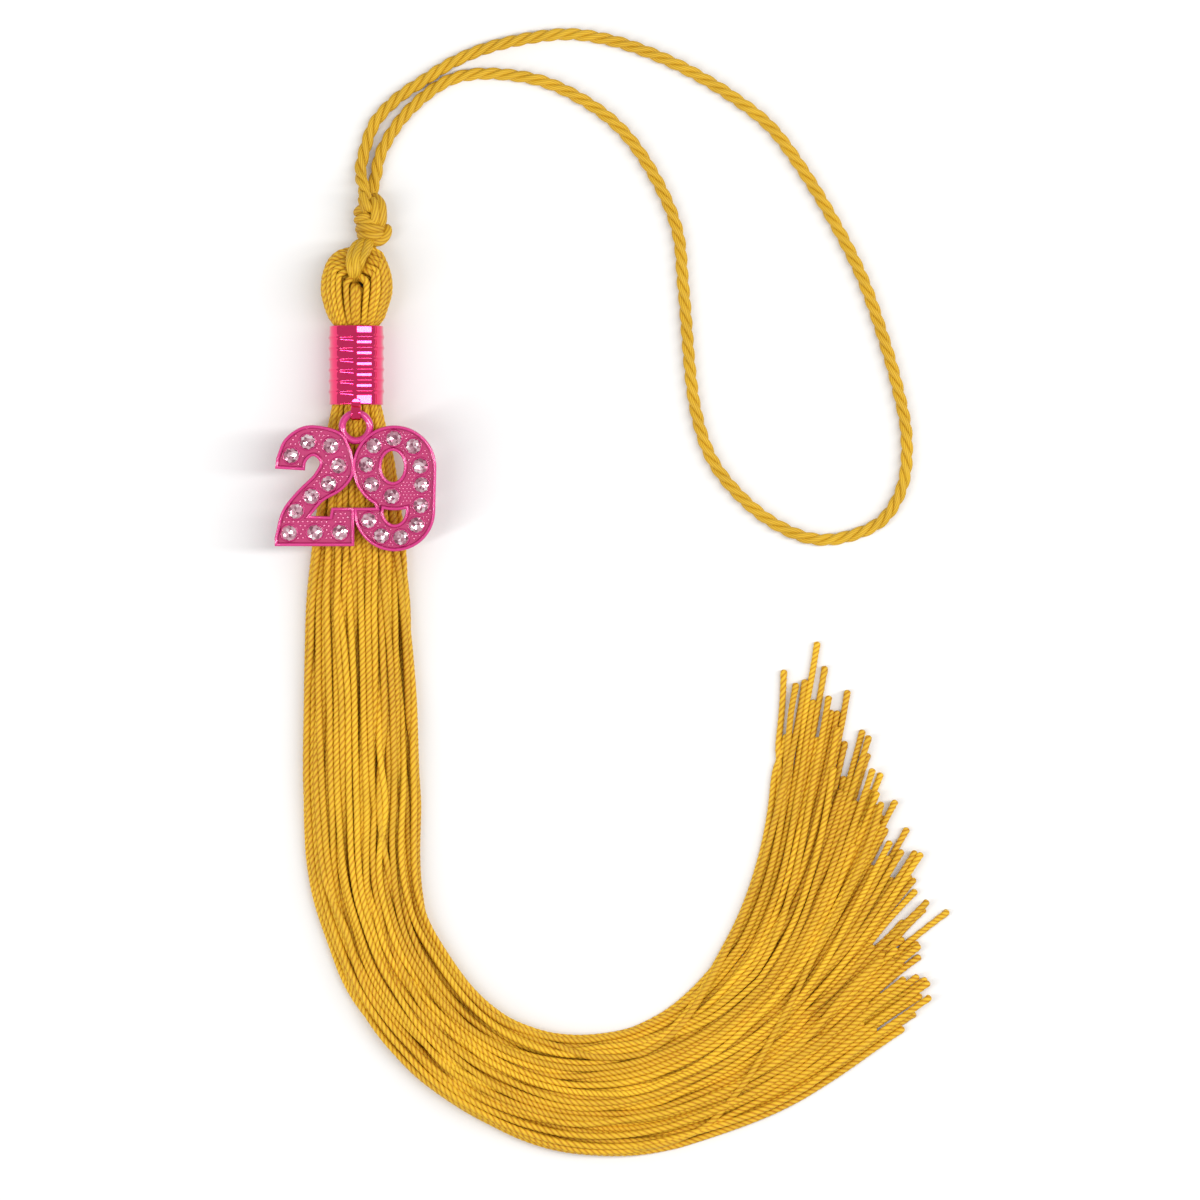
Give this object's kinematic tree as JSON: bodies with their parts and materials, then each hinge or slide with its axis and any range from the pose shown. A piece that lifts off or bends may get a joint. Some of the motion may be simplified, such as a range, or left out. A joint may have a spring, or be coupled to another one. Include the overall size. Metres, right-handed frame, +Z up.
{
  "type": "graduation tassel with a year charm",
  "caption": "Yarn tassel lying flat: folded head on a knotted cord loop, ribbed metal band, hinged enamelled year charm with stones, and a long skirt curving to cut ends.",
  "frame": {"origin": "middle of the tassel's footprint on the surface it lies on, with the hanging cord left out", "axes": "+Y from the skirt's bend towards the knot, +X towards the cut ends, +Z up from the surface"},
  "size_m": [0.1174, 0.1979, 0.0115],
  "materials": {
    "yarn": "lustrous twisted yarn",
    "cord": "lustrous twisted cord",
    "plated_metal": "pink plating, bright",
    "enamelled_metal": "pink enamel on cast metal, satin gloss",
    "stone": "faceted, foil-backed"
  },
  "bodies": {
    "tassel": {"yarn_bundle": "yarn", "knot": "cord", "cord_sling": "cord", "band": "plated_metal", "charm_hook": "plated_metal", "cord_loop": "cord"},
    "charm": {"charm": "enamelled_metal", "stone_01": "stone", "stone_02": "stone", "stone_03": "stone", "stone_04": "stone", "stone_05": "stone", "stone_06": "stone", "stone_07": "stone", "stone_08": "stone", "stone_09": "stone", "stone_10": "stone", "stone_11": "stone", "stone_12": "stone", "stone_13": "stone", "stone_14": "stone", "stone_15": "stone", "stone_16": "stone", "stone_17": "stone", "stone_18": "stone", "stone_19": "stone", "stone_20": "stone", "stone_21": "stone", "stone_22": "stone", "stone_23": "stone"}
  },
  "joints": [
    {"name": "charm_swing", "type": "hinge", "parent": "tassel", "child": "charm", "pos_m": [-0.04447, 0.0466, 0.01015], "axis": [-1, 0, 0], "range_deg": [0, 150]}
  ]
}
